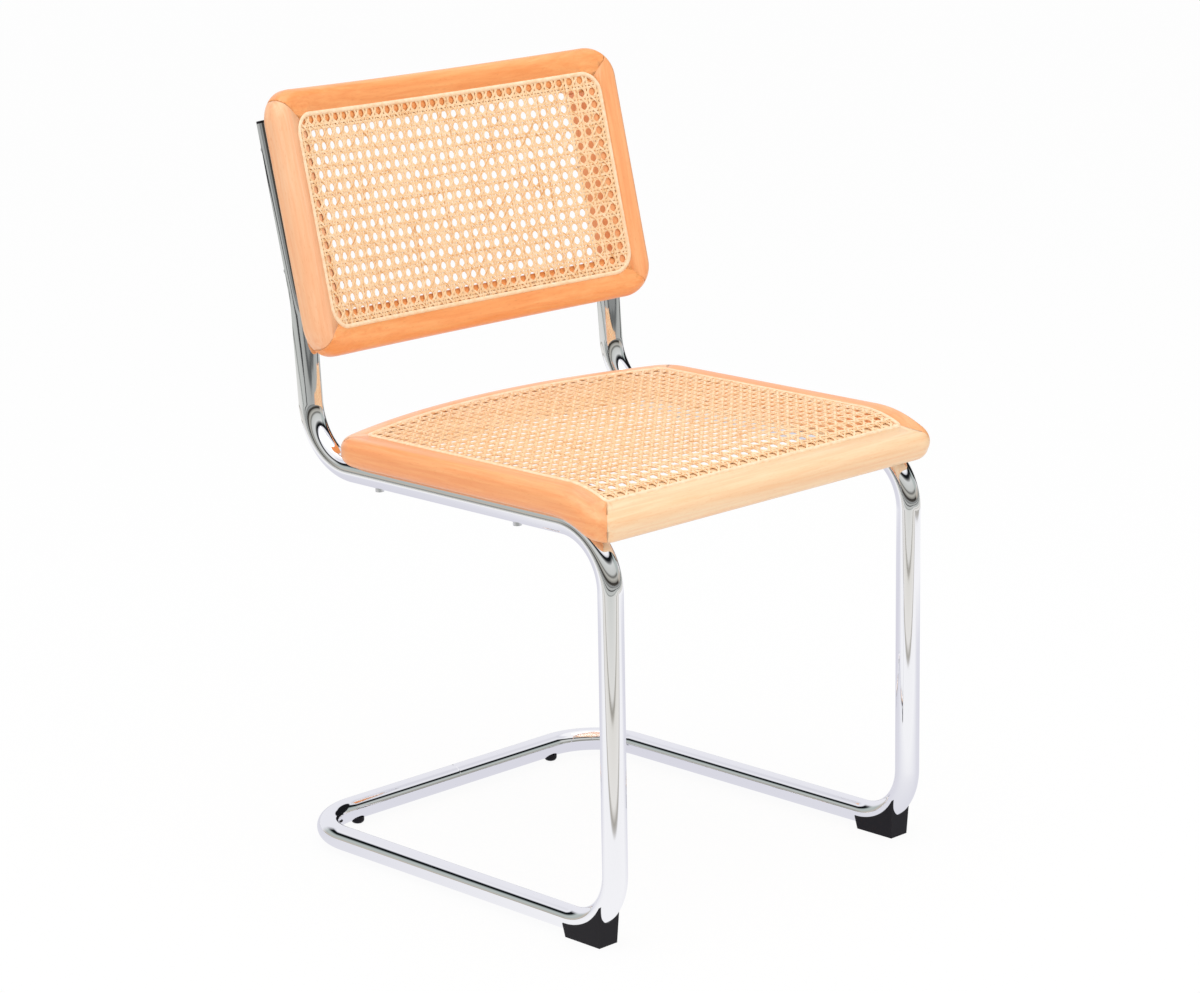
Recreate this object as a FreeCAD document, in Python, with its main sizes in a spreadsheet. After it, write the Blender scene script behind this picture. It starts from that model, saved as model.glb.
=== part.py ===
# Cantilever side chair: a bent steel tube frame that carries a cane seat and a
# cane backrest, each in its own mitred wooden frame.
# The front of the chair faces -Y, +Z is up, and the left side is at +X.
import FreeCAD, Part
import math
import os
import Sketcher

os.makedirs("parts", exist_ok=True)
doc = FreeCAD.newDocument("chair")
sheet = doc.addObject("Spreadsheet::Sheet", "sizes")

# Driving dimensions in millimetres and degrees.
DRIVING = {
    # bent tube frame
    "tube_diameter": 25,
    "tube_wall": 2,
    "frame_spacing": 430,
    "base_depth": 466,
    "sole_thickness": 3.3,
    "base_corner_radius": 66,
    "front_lower_radius": 60,
    "front_upper_radius": 60,
    "seat_tube_height": 416.3,
    "rear_seat_radius": 65,
    "rear_bend_setback": 42,
    "lower_upright_angle": 4,
    "upright_bend_rise": 165,
    "upright_bend_radius": 160,
    "back_angle": 13.5,
    "upright_end_drop": 28.25,
    # seat frame
    "seat_side_overhang": 28,
    "seat_thickness": 29,
    "seat_nose_overhang": 22,
    "seat_rear_setback": 57,
    "seat_rear_slope": 18,
    "seat_rear_shoulder": 42,
    "seat_rear_corner": 35,
    "seat_front_corner": 26,
    "seat_rail_width": 44,
    "seat_front_rail_width": 41,
    "seat_edge_radius": 12,
    "seat_drop_angle": 24,
    "seat_drop_radius": 124,
    "seat_bed_depth": 3,
    # backrest frame
    "back_side_overhang": 24.5,
    "back_height": 271.5,
    "back_thickness": 28,
    "back_curve_radius": 885,
    "back_corner_radius": 34,
    "back_edge_radius": 11,
    "back_stile_width": 45,
    "back_rail_width": 43,
    "back_rise": 74.5,
    "back_bed_depth": 1.2,
    # cane panels and their splines
    "cane_thickness": 1.6,
    "spline_width": 4.2,
    "spline_depth": 6,
    "spline_crown": 1,
    "cane_bar_width": 15,
    "seat_spline_inset": 32.5,
    "seat_spline_front_inset": 29.7,
    "seat_spline_rear_inset": 26,
    "back_spline_side_inset": 28.5,
    "back_spline_end_inset": 27.5,
    "seat_spline_front_corner": 6,
    "seat_spline_rear_corner": 12,
    "back_spline_corner": 24,
    "opening_corner_radius": 12,
    # feet, glides and caps
    "foot_width": 26,
    "foot_front_setback": 10,
    "foot_length": 52,
    "foot_draft": 3,
    "foot_heel_draft": 14,
    "foot_wall_drop": 2,
    "peg_setback": 12,
    "peg_diameter": 5,
    "peg_length": 8,
    "glide_diameter": 14,
    "glide_edge_radius": 4,
    "glide_lead": 4,
    "glide_inset": 72,
    "cap_thickness": 2.5,
    "plug_length": 14,
    # joints and fasteners
    "sleeve_length": 90,
    "sleeve_wall": 2,
    "rivet_offset": 25,
    "rivet_diameter": 5,
    "screw_diameter": 5,
    "screw_head_diameter": 9,
    "screw_head_height": 3,
    "seat_screw_rear_setback": 140,
    "seat_screw_front_setback": 126,
    "screw_bite": 18,
    "back_screw_end_gap": 26,
    "back_screw_rise": 93,
    "dowel_diameter": 8,
    "dowel_length": 34,
    "dowel_chamfer": 1.5,
    "dowel_end_gap": 1,
    "dowel_depth": 18.5,
    "front_dowel_setback": 30,
    "hole_clearance": 0.5,
}
for row, (name, value) in enumerate(DRIVING.items(), start=1):
    sheet.set("A%d" % row, name)
    sheet.set("B%d" % row, str(value))
    sheet.setAlias("B%d" % row, name)
doc.recompute()


# A size holds its present value and the sheet formula that the value comes from.
class Size:
    def __init__(self, value, formula):
        self.value = float(value)
        self.formula = formula

    def __add__(self, other):
        other = as_size(other)
        return Size(self.value + other.value, "(%s + %s)" % (self.formula, other.formula))

    def __sub__(self, other):
        other = as_size(other)
        return Size(self.value - other.value, "(%s - %s)" % (self.formula, other.formula))

    def __mul__(self, other):
        other = as_size(other)
        return Size(self.value * other.value, "(%s * %s)" % (self.formula, other.formula))

    def __truediv__(self, other):
        other = as_size(other)
        return Size(self.value / other.value, "(%s / %s)" % (self.formula, other.formula))

    def __neg__(self):
        return Size(-self.value, "(0 - %s)" % self.formula)

    __radd__ = __add__
    __rmul__ = __mul__

    def __rsub__(self, other):
        return as_size(other) - self


def as_size(number):
    return number if isinstance(number, Size) else Size(number, repr(float(number)))


def size(name):
    return Size(getattr(sheet, name), "sizes." + name)


def sine(angle):
    return Size(math.sin(math.radians(angle.value)), "sin(%s)" % angle.formula)


def cosine(angle):
    return Size(math.cos(math.radians(angle.value)), "cos(%s)" % angle.formula)


def tangent(angle):
    return Size(math.tan(math.radians(angle.value)), "tan(%s)" % angle.formula)


def root(number):
    return Size(math.sqrt(number.value), "sqrt(%s)" % number.formula)


# Document objects bound to the sheet.
def bind(thing, path, number):
    thing.setExpression(path, as_size(number).formula)


def place(thing, x=0, y=0, z=0, axis=None, angle=0):
    if axis is not None:
        thing.Placement = FreeCAD.Placement(
            FreeCAD.Vector(0, 0, 0), FreeCAD.Rotation(FreeCAD.Vector(*axis), as_size(angle).value)
        )
        bind(thing, "Placement.Rotation.Angle", angle)
    for name, number in (("x", x), ("y", y), ("z", z)):
        bind(thing, "Placement.Base." + name, number)
    return thing


def cylinder(name, radius, height, **where):
    rod = doc.addObject("Part::Cylinder", name)
    bind(rod, "Radius", radius)
    bind(rod, "Height", height)
    return place(rod, **where)


def cut(name, base, tool):
    result = doc.addObject("Part::Cut", name)
    result.Base = base
    result.Tool = tool
    return result


def fuse(name, shapes):
    result = doc.addObject("Part::MultiFuse", name)
    result.Shapes = shapes
    result.Refine = True
    return result


def common(name, shapes):
    result = doc.addObject("Part::MultiCommon", name)
    result.Shapes = shapes
    return result


def mirrored(name, source):
    result = doc.addObject("Part::Mirroring", name)
    result.Source = source
    result.Normal = FreeCAD.Vector(1, 0, 0)
    return result


# Sketch planes: the plan (XY), the side view (YZ) and the front view (XZ).
PLAN = FreeCAD.Rotation()
SIDE = FreeCAD.Rotation(0.5, 0.5, 0.5, 0.5)
FRONT = FreeCAD.Rotation(FreeCAD.Vector(1, 0, 0), 90)


def sketch_on(name, plane):
    sketch = doc.addObject("Sketcher::SketchObject", name)
    sketch.Placement = FreeCAD.Placement(FreeCAD.Vector(0, 0, 0), plane)
    return sketch


def fix_point(sketch, geometry, position, x, y):
    for kind, axis, number in (("DistanceX", -2, x), ("DistanceY", -1, y)):
        number = as_size(number)
        if number.formula == "0.0":
            sketch.addConstraint(Sketcher.Constraint("PointOnObject", geometry, position, axis))
            continue
        index = sketch.addConstraint(
            Sketcher.Constraint(kind, -1, 1, geometry, position, number.value)
        )
        sketch.setExpression("Constraints[%d]" % index, number.formula)


# Straight sides between corner points, with a tangent arc at each corner that
# has a radius. An open line is a path, a closed one is an outline.
def draw_line(sketch, corners, closed):
    points = [FreeCAD.Vector(as_size(x).value, as_size(y).value, 0) for x, y, _ in corners]
    count = len(points)
    starts = list(points)
    ends = list(points)
    arcs = {}
    for i, (_, _, radius) in enumerate(corners):
        if radius is None:
            continue
        before = (points[i - 1] - points[i]).normalize()
        after = (points[(i + 1) % count] - points[i]).normalize()
        half = before.getAngle(after) / 2
        reach = radius.value / math.tan(half)
        starts[i] = points[i] + before * reach
        ends[i] = points[i] + after * reach
        middle = points[i] + (before + after).normalize() * (radius.value / math.sin(half))
        turns_left = before.cross(after).z < 0
        first, last = (starts[i], ends[i]) if turns_left else (ends[i], starts[i])
        circle = Part.Circle(middle, FreeCAD.Vector(0, 0, 1), radius.value)
        arc = Part.ArcOfCircle(circle, circle.parameter(first), circle.parameter(last))
        arcs[i] = (arc, turns_left)
    sides = count if closed else count - 1
    lines = []
    for i in range(sides):
        segment = Part.LineSegment(ends[i], starts[(i + 1) % count])
        lines.append(sketch.addGeometry(segment))
    for i, (x, y, radius) in enumerate(corners):
        before = lines[i - 1] if closed or i > 0 else None
        after = lines[i % sides] if closed or i < sides else None
        if radius is None:
            if before is None:
                fix_point(sketch, after, 1, x, y)
            elif after is None:
                fix_point(sketch, before, 2, x, y)
            else:
                sketch.addConstraint(Sketcher.Constraint("Coincident", before, 2, after, 1))
                fix_point(sketch, after, 1, x, y)
            continue
        arc, turns_left = arcs[i]
        bend = sketch.addGeometry(arc)
        near, far = (1, 2) if turns_left else (2, 1)
        sketch.addConstraint(Sketcher.Constraint("Tangent", before, 2, bend, near))
        sketch.addConstraint(Sketcher.Constraint("Tangent", bend, far, after, 1))
        index = sketch.addConstraint(Sketcher.Constraint("Radius", bend, radius.value))
        sketch.setExpression("Constraints[%d]" % index, radius.formula)
        corner = sketch.addGeometry(Part.Point(points[i]), True)
        sketch.addConstraint(Sketcher.Constraint("PointOnObject", corner, 1, before))
        sketch.addConstraint(Sketcher.Constraint("PointOnObject", corner, 1, after))
        fix_point(sketch, corner, 1, x, y)
    return sketch


def draw_path(name, plane, corners):
    return draw_line(sketch_on(name, plane), corners, False)


def draw_outline(name, plane, corners):
    return draw_line(sketch_on(name, plane), corners, True)


def extrude(name, sketch, length, symmetric=True):
    block = doc.addObject("Part::Extrusion", name)
    block.Base = sketch
    block.DirMode = "Normal"
    block.Solid = True
    block.Symmetric = symmetric
    bind(block, "LengthFwd", length)
    return block


# Finished pieces. Each is moved back by the same step, which puts the origin on
# the floor below the middle of the whole chair.
NODES = []


def finish(thing, label, **where):
    where["y"] = as_size(where.get("y", 0)) + shift
    place(thing, **where)
    thing.Label = label
    NODES.append(thing)
    return thing


# Shared places, measured from the middle of the rear cross tube.
tube_radius = size("tube_diameter") / 2
bore_radius = tube_radius - size("tube_wall")
side_x = size("frame_spacing") / 2
runner_z = size("sole_thickness") + tube_radius
leg_y = -size("base_depth")
seat_tube_z = size("seat_tube_height")
back_angle = size("back_angle")
bend_y = size("upright_bend_rise") * tangent(size("lower_upright_angle"))
bend_y = bend_y - size("rear_bend_setback")
bend_z = seat_tube_z + size("upright_bend_rise")
upright_length = size("back_rise") + size("back_height") / 2 - size("upright_end_drop")
end_z = bend_z + upright_length * cosine(back_angle)
end_y = bend_y + upright_length * sine(back_angle)
seat_bottom = seat_tube_z + tube_radius - size("seat_bed_depth")
seat_top = seat_bottom + size("seat_thickness")
drop_angle = size("seat_drop_angle")
nose_y = leg_y - size("seat_nose_overhang")
nose_turn = cosine(drop_angle) + sine(drop_angle) - 1
front_most = nose_y + size("seat_edge_radius") * nose_turn

# The backrest is curved in plan. Its own origin is the middle of its front face,
# where the tubes still touch its rear face at the two sides.
back_front_curve = size("back_curve_radius")
back_rear_curve = back_front_curve + size("back_thickness")
back_chord = root(back_rear_curve * back_rear_curve - side_x * side_x)
back_press = (tube_radius - size("back_bed_depth")) * back_rear_curve / back_chord
back_stand = back_chord - back_front_curve + back_press
back_y = bend_y + size("back_rise") * sine(back_angle) - back_stand * cosine(back_angle)
back_z = bend_z + size("back_rise") * cosine(back_angle) + back_stand * sine(back_angle)
back_edge = size("back_edge_radius")
back_top_reach = (size("back_height") / 2 - back_edge) * sine(back_angle)
back_rear_reach = (size("back_thickness") - back_edge) * cosine(back_angle)
rear_most = back_y + back_top_reach + back_rear_reach + back_edge
shift = -(front_most + rear_most) / 2


# Bent tube frame: two mirrored halves that meet in the middle of the rear
# cross tube, each swept along a base path and a side path.
def sweep(name, radius, spine, **where):
    ring = doc.addObject("Part::Circle", name + "_section")
    bind(ring, "Radius", radius)
    place(ring, **where)
    pipe = doc.addObject("Part::Sweep", name)
    pipe.Sections = [ring]
    pipe.Spine = (spine, [])
    pipe.Solid = True
    return pipe


runner_split = leg_y / 2
base_path = draw_path("base_path", PLAN, [
    (0, 0, None),
    (side_x, 0, size("base_corner_radius")),
    (side_x, runner_split, None),
])
place(base_path, z=runner_z)
side_path = draw_path("side_path", SIDE, [
    (runner_split, runner_z, None),
    (leg_y, runner_z, size("front_lower_radius")),
    (leg_y, seat_tube_z, size("front_upper_radius")),
    (-size("rear_bend_setback"), seat_tube_z, size("rear_seat_radius")),
    (bend_y, bend_z, size("upright_bend_radius")),
    (end_y, end_z, None),
])
place(side_path, x=side_x)


def half_pipe(name, radius):
    base = sweep(name + "_base", radius, base_path, z=runner_z, axis=(0, 1, 0), angle=90)
    side = sweep(
        name + "_side", radius, side_path,
        x=side_x, y=runner_split, z=runner_z, axis=(1, 0, 0), angle=90,
    )
    return fuse(name, [base, side])


left_bar = half_pipe("left_bar", tube_radius)
left_bore = half_pipe("left_bore", bore_radius)
left_pipe = cut("left_pipe", left_bar, left_bore)
right_bar = mirrored("right_bar", left_bar)


def carve(base, tools, name):
    for count, tool in enumerate(tools, start=1):
        base = cut("%s_%d" % (name, count), base, tool)
    return base


def finish_pair(thing, label):
    finish(thing, "left_" + label)
    other = mirrored("right_" + label, thing)
    other.Label = "right_" + label
    NODES.append(other)
    return other


# Rounds the chosen edges of a blank, one radius after the other.
def rounded(name, blank, *rounds):
    body = doc.addObject("PartDesign::Body", name)
    body.BaseFeature = blank
    doc.recompute()
    base = body.Group[0]
    for count, (radius, chosen) in enumerate(rounds, start=1):
        edges = ["Edge%d" % i for i, edge in enumerate(base.Shape.Edges, start=1) if chosen(edge)]
        feature = body.newObject("PartDesign::Fillet", "%s_edges_%d" % (name, count))
        feature.Base = (base, edges)
        bind(feature, "Radius", radius)
        doc.recompute()
        base = feature
    body.Tip = base
    return body


def direction(edge):
    if edge.Curve.TypeId != "Part::GeomLine":
        return FreeCAD.Vector(0, 0, 0)
    return edge.tangentAt(edge.FirstParameter)


# Seat: side view of the dished slab. A level is a height above the top face,
# reach is how far past the front nose the slab runs along its drop.
drop_start = leg_y + size("front_upper_radius")
drop_corner = drop_start - size("seat_drop_radius") * tangent(drop_angle / 2)
nose_z = seat_top + (nose_y - drop_corner) * tangent(drop_angle)
seat_half = side_x + size("seat_side_overhang")
seat_rear_y = -size("seat_rear_setback")
seat_rear_bow = (seat_half - size("seat_rear_shoulder")) / sine(size("seat_rear_slope"))
seat_span = seat_half * 3


def drop_point(reach, level):
    y = nose_y - reach * cosine(drop_angle) - level * sine(drop_angle)
    z = nose_z - reach * sine(drop_angle) + level * cosine(drop_angle)
    return y, z


def seat_layer(name, top, bottom, reach):
    top = as_size(top)
    bottom = as_size(bottom)
    reach = as_size(reach)
    half_turn = tangent(drop_angle / 2)
    outline = draw_outline(name + "_outline", SIDE, [
        (seat_rear_y + 40, seat_top + top, None),
        (drop_corner - top * half_turn, seat_top + top, size("seat_drop_radius") + top),
        (*drop_point(reach, top), None),
        (*drop_point(reach, bottom), None),
        (drop_corner - bottom * half_turn, seat_top + bottom, size("seat_drop_radius") + bottom),
        (seat_rear_y + 40, seat_top + bottom, None),
    ])
    return extrude(name, outline, seat_span)


# Seat: plan outlines, with a rear edge that bows outward. The rear line is drawn
# as a shallow peak with one large arc.
def rear_peak(inset):
    bow = seat_rear_bow - inset
    slope = cosine(size("seat_rear_slope"))
    return seat_rear_y - inset + bow * (1 - slope) / slope


def rear_side(inset, half):
    return rear_peak(inset) - half * tangent(size("seat_rear_slope"))


def seat_prism(name, half, front, inset, front_corner, rear_corner):
    inset = as_size(inset)
    outline = draw_outline(name + "_outline", PLAN, [
        (-half, front, front_corner),
        (half, front, front_corner),
        (half, rear_side(inset, half), rear_corner),
        (0, rear_peak(inset), seat_rear_bow - inset),
        (-half, rear_side(inset, half), rear_corner),
    ])
    place(outline, z=seat_bottom - 60)
    return extrude(name, outline, size("seat_thickness") + 90, symmetric=False)


rail = size("seat_rail_width")
seat_slab = seat_layer("seat_slab", 0, -size("seat_thickness"), 0)
seat_plan = seat_prism(
    "seat_plan", seat_half, nose_y * 1.2, 0, None, size("seat_rear_corner")
)
seat_blank = common("seat_blank", [seat_slab, seat_plan])


def is_front_corner(edge):
    return 0.5 < abs(direction(edge).z) < 0.99


def is_seat_rim(edge):
    line = direction(edge)
    crosswise = abs(line.x) > 0.99
    at_nose = edge.CenterOfMass.y < nose_y.value + size("seat_thickness").value * 0.6
    return abs(line.z) < 0.85 and (at_nose or not crosswise) and edge.Length > 1


seat_solid = rounded(
    "seat_solid", seat_blank,
    (size("seat_front_corner"), is_front_corner), (size("seat_edge_radius"), is_seat_rim),
)

opening_half = seat_half - rail
opening_front = nose_y + size("seat_front_rail_width")
seat_opening = seat_prism(
    "seat_opening", opening_half, opening_front, rail,
    size("opening_corner_radius"), size("opening_corner_radius"),
)
spline_half = size("spline_width") / 2
seat_spline_x = seat_half - size("seat_spline_inset")
seat_spline_front = nose_y + size("seat_spline_front_inset")
seat_spline_rear = size("seat_spline_rear_inset")
seat_spline_outer = seat_prism(
    "seat_spline_outer", seat_spline_x + spline_half, seat_spline_front - spline_half,
    seat_spline_rear - spline_half,
    size("seat_spline_front_corner"), size("seat_spline_rear_corner"),
)
seat_spline_inner = seat_prism(
    "seat_spline_inner", seat_spline_x - spline_half, seat_spline_front + spline_half,
    seat_spline_rear + spline_half,
    size("seat_spline_front_corner") - size("spline_width"),
    size("seat_spline_rear_corner") - size("spline_width"),
)
seat_ring = cut("seat_ring", seat_spline_outer, seat_spline_inner)
spline_depth = size("spline_depth")
cane_thickness = size("cane_thickness")
seat_groove = common("seat_groove", [
    seat_ring, seat_layer("seat_groove_layer", 12, -spline_depth, 10),
])
seat_rebate = common("seat_rebate", [
    seat_spline_inner, seat_layer("seat_rebate_layer", 12, -cane_thickness, 10),
])
seat_spline = common("seat_spline", [
    seat_ring, seat_layer("seat_spline_layer", size("spline_crown"), -spline_depth, 10),
])
seat_panel = common("seat_panel", [
    seat_spline_inner, seat_layer("seat_cane_layer", 0, -cane_thickness, 10),
])


# Cane: an even grid of openings stands for the open weave.
def block(name, length, width, height, **where):
    box = doc.addObject("Part::Box", name)
    bind(box, "Length", length)
    bind(box, "Width", width)
    bind(box, "Height", height)
    return place(box, **where)


cane_bar = size("cane_bar_width")
GRID_COLUMNS = 12


def grid_columns(name, half, **where):
    pitch = half * 2 / GRID_COLUMNS
    return fuse(name, [
        block("%s_%d" % (name, i), pitch - cane_bar, x=pitch * i - half + cane_bar / 2, **where)
        for i in range(GRID_COLUMNS)
    ])


SEAT_ROWS = 10
seat_row_pitch = (seat_rear_y - rail - opening_front) / SEAT_ROWS
seat_columns = grid_columns(
    "seat_column", opening_half, width=-nose_y, height=seat_top, y=nose_y, z=seat_bottom / 2
)
seat_rows = fuse("seat_rows", [
    block(
        "seat_row_%d" % i, opening_half * 2, seat_row_pitch - cane_bar, seat_top,
        x=-opening_half, y=opening_front + seat_row_pitch * i + cane_bar / 2, z=seat_bottom / 2,
    )
    for i in range(SEAT_ROWS)
])
seat_grid_edge = seat_prism(
    "seat_grid_edge", opening_half - cane_bar / 2, opening_front + cane_bar / 2,
    rail + cane_bar / 2, size("opening_corner_radius"), size("opening_corner_radius"),
)
seat_grid = common("seat_grid", [seat_columns, seat_rows, seat_grid_edge])
seat_cane = cut("seat_cane", seat_panel, seat_grid)

# Fasteners. The screws cross both walls of a tube and bite into the wood; the
# dowels lie level across the mitred corners.
screw_radius = size("screw_diameter") / 2
head_radius = size("screw_head_diameter") / 2
head_height = size("screw_head_height")
hole_radius = screw_radius + size("hole_clearance") / 2
screw_length = head_height + size("tube_diameter") + size("screw_bite")
head_block = head_height + tube_radius / 2


def screw(name, **where):
    shank = cylinder(name + "_shank", screw_radius, screw_length, **where)
    blank = cylinder(name + "_blank", head_radius, head_block, **where)
    head = cut(name + "_head", blank, left_bar)
    hole = cylinder(name + "_hole", hole_radius, head_height + size("tube_diameter"), **where)
    return shank, fuse(name, [shank, head]), hole


def cone(name, start, end, height, **where):
    tip = doc.addObject("Part::Cone", name)
    bind(tip, "Radius1", start)
    bind(tip, "Radius2", end)
    bind(tip, "Height", height)
    return place(tip, **where)


def dowel(name, x, y, z):
    level = {"y": y, "z": z, "axis": (0, 1, 0), "angle": 90}
    radius = size("dowel_diameter") / 2
    half = size("dowel_length") / 2
    tip = size("dowel_chamfer")
    hole_half = half + size("dowel_end_gap")
    hole = cylinder(name + "_hole", radius, hole_half * 2, x=x - hole_half, **level)
    shaft = cylinder(name + "_shaft", radius, (half - tip) * 2, x=x - half + tip, **level)
    near_tip = cone(name + "_near_tip", radius - tip, radius, tip, x=x - half, **level)
    far_tip = cone(name + "_far_tip", radius, radius - tip, tip, x=x + half - tip, **level)
    return hole, fuse(name, [shaft, near_tip, far_tip])


screw_base = seat_tube_z - tube_radius - head_height
seat_screws = [
    screw("seat_rear_screw", x=side_x, y=-size("seat_screw_rear_setback"), z=screw_base),
    screw("seat_front_screw", x=side_x, y=leg_y + size("seat_screw_front_setback"), z=screw_base),
]
front_dowel_y = nose_y + size("front_dowel_setback")
front_dowel_z = seat_top + (front_dowel_y - drop_corner) * tangent(drop_angle)
rear_dowel_y = rear_side(as_size(0), seat_half) * 0.4 + rear_side(rail, opening_half) * 0.6
seat_dowels = [
    dowel(
        "seat_front_dowel", opening_half + opening_front - front_dowel_y,
        front_dowel_y, front_dowel_z - size("dowel_depth"),
    ),
    dowel(
        "seat_rear_dowel", opening_half + rail * 0.4,
        rear_dowel_y, seat_top - size("dowel_depth"),
    ),
]
seat_frame = carve(seat_solid, [seat_opening, seat_groove, seat_rebate, left_bar], "seat_frame")
seat_frame_left = carve(
    seat_frame, [pair[0] for pair in seat_screws + seat_dowels], "seat_frame_left"
)


# Seat: the four members meet on mitres, seen in plan.
def seat_wedge(name, corners):
    outline = draw_outline(name + "_outline", PLAN, [(x, y, None) for x, y in corners])
    place(outline, z=seat_bottom - 60)
    return extrude(name, outline, size("seat_thickness") + 90, symmetric=False)


front_inner = (opening_half - rail, opening_front + rail)
front_outer = (seat_half + rail, opening_front - rail * 2)
rear_rise = rear_side(as_size(0), seat_half) - rear_side(rail, opening_half)
rear_inner = (opening_half - rail, rear_side(rail, opening_half) - rear_rise)
rear_outer = (seat_half + rail, rear_side(as_size(0), seat_half) + rear_rise)
far_side = rear_outer[0] + 20
far_rear = seat_rear_y + 60
seat_left_wedge = seat_wedge("seat_left_wedge", [
    front_inner, front_outer, (far_side, front_outer[1]), (far_side, rear_outer[1]),
    rear_outer, rear_inner,
])
seat_front_wedge = seat_wedge("seat_front_wedge", [
    (-front_inner[0], front_inner[1]), (-front_outer[0], front_outer[1]),
    front_outer, front_inner,
])
seat_rear_wedge = seat_wedge("seat_rear_wedge", [
    (-rear_inner[0], rear_inner[1]), rear_inner, rear_outer,
    (rear_outer[0], far_rear), (-rear_outer[0], far_rear), (-rear_outer[0], rear_outer[1]),
])


# Front and rear members span both sides, so their right half mirrors the left.
def whole_member(name, half_frame, wedge):
    near = common(name + "_near", [half_frame, wedge])
    side = block(name + "_side", seat_half * 2, -nose_y * 2, end_z * 2, y=nose_y * 1.5)
    near = common(name + "_half", [near, side])
    return fuse(name, [near, mirrored(name + "_other", near)])


finish_pair(common("left_seat_rail", [seat_frame_left, seat_left_wedge]), "seat_rail")
finish(whole_member("seat_front", seat_frame_left, seat_front_wedge), "seat_front_rail")
finish(whole_member("seat_back", seat_frame_left, seat_rear_wedge), "seat_rear_rail")
finish(seat_spline, "seat_spline")
finish(seat_cane, "seat_cane")

# Backrest, drawn upright about its own origin and then tilted on to the tubes.
back_half = side_x + size("back_side_overhang")
back_rise_half = size("back_height") / 2
stile = size("back_stile_width")
back_rail = size("back_rail_width")


def tilt(thing):
    return place(thing, y=back_y, z=back_z, axis=(-1, 0, 0), angle=back_angle)


def back_layer(name, near, far):
    near = as_size(near)
    far = as_size(far)
    height = size("back_height") + 40
    low = -back_rise_half - 20
    outer = cylinder(name + "_outer", back_front_curve + far, height, y=-back_front_curve, z=low)
    inner = cylinder(name + "_inner", back_front_curve + near, height, y=-back_front_curve, z=low)
    return cut(name, outer, inner)


def back_prism(name, half, rise, corner):
    outline = draw_outline(name + "_outline", FRONT, [
        (-half, -rise, corner), (half, -rise, corner), (half, rise, corner), (-half, rise, corner),
    ])
    return extrude(name, outline, size("back_thickness") * 6)


back_blank = common("back_blank", [
    back_layer("back_body", 0, size("back_thickness")),
    back_prism("back_plan", back_half, back_rise_half, size("back_corner_radius")),
])


def is_back_rim(edge):
    return abs(direction(edge).y) < 0.99


back_round = rounded("back_round", back_blank, (back_edge, is_back_rim))
back_opening = back_prism(
    "back_opening", back_half - stile, back_rise_half - back_rail, size("opening_corner_radius")
)
back_spline_x = back_half - size("back_spline_side_inset")
back_spline_z = back_rise_half - size("back_spline_end_inset")
back_spline_inner = back_prism(
    "back_spline_inner", back_spline_x - spline_half, back_spline_z - spline_half,
    size("back_spline_corner") - size("spline_width"),
)
back_ring = cut("back_ring", back_prism(
    "back_spline_outer", back_spline_x + spline_half, back_spline_z + spline_half,
    size("back_spline_corner"),
), back_spline_inner)
back_groove = common("back_groove", [back_ring, back_layer("back_groove_layer", -12, spline_depth)])
back_rebate = common("back_rebate", [
    back_spline_inner, back_layer("back_rebate_layer", -12, cane_thickness),
])
back_frame = tilt(carve(back_round, [back_opening, back_groove, back_rebate], "back_frame"))
back_spline = common("back_spline", [
    back_ring, back_layer("back_spline_layer", -size("spline_crown"), spline_depth),
])
back_panel = common("back_panel", [
    back_spline_inner, back_layer("back_cane_layer", 0, cane_thickness),
])
BACK_ROWS = 6
back_deep = size("back_thickness") * 6
back_row_half = back_rise_half - back_rail
back_row_pitch = back_row_half * 2 / BACK_ROWS
back_columns = grid_columns(
    "back_column", back_half - stile, width=back_deep, height=size("back_height"),
    y=-back_deep / 2, z=-back_rise_half,
)
back_rows = fuse("back_rows", [
    block(
        "back_row_%d" % i, back_half * 2, back_deep, back_row_pitch - cane_bar,
        x=-back_half, y=-back_deep / 2, z=back_row_pitch * i - back_row_half + cane_bar / 2,
    )
    for i in range(BACK_ROWS)
])
back_grid = common("back_grid", [back_columns, back_rows])
back_cane = cut("back_cane", back_panel, back_grid)


# Places on the upper upright, a length up from its bend and square to it.
def on_upright(up, behind):
    y = bend_y + up * sine(back_angle) + behind * cosine(back_angle)
    z = bend_z + up * cosine(back_angle) - behind * sine(back_angle)
    return {"x": side_x, "y": y, "z": z}


square = {"axis": (1, 0, 0), "angle": 90 - back_angle}
upper_screw = upright_length - size("back_screw_end_gap")
lower_screw = size("back_rise") - back_rise_half + size("back_screw_rise")
back_screws = [
    screw("back_upper_screw", **on_upright(upper_screw, tube_radius + head_height), **square),
    screw("back_lower_screw", **on_upright(lower_screw, tube_radius + head_height), **square),
]
mitre_x = back_half - stile / 2
mitre_z = back_rise_half - back_rail / 2
back_middle = back_front_curve + size("back_thickness") / 2
mitre_y = root(back_middle * back_middle - mitre_x * mitre_x) - back_front_curve


def back_dowel(name, rise):
    y = back_y + mitre_y * cosine(back_angle) + rise * sine(back_angle)
    z = back_z - mitre_y * sine(back_angle) + rise * cosine(back_angle)
    return dowel(name, mitre_x, y, z)


back_dowels = [back_dowel("back_upper_dowel", mitre_z), back_dowel("back_lower_dowel", -mitre_z)]
back_frame_left = carve(
    back_frame, [left_bar] + [pair[0] for pair in back_screws + back_dowels], "back_frame_left"
)


def back_wedge(name, corners):
    outline = draw_outline(name + "_outline", FRONT, [(x, z, None) for x, z in corners])
    return tilt(extrude(name, outline, size("back_thickness") * 6))


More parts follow.
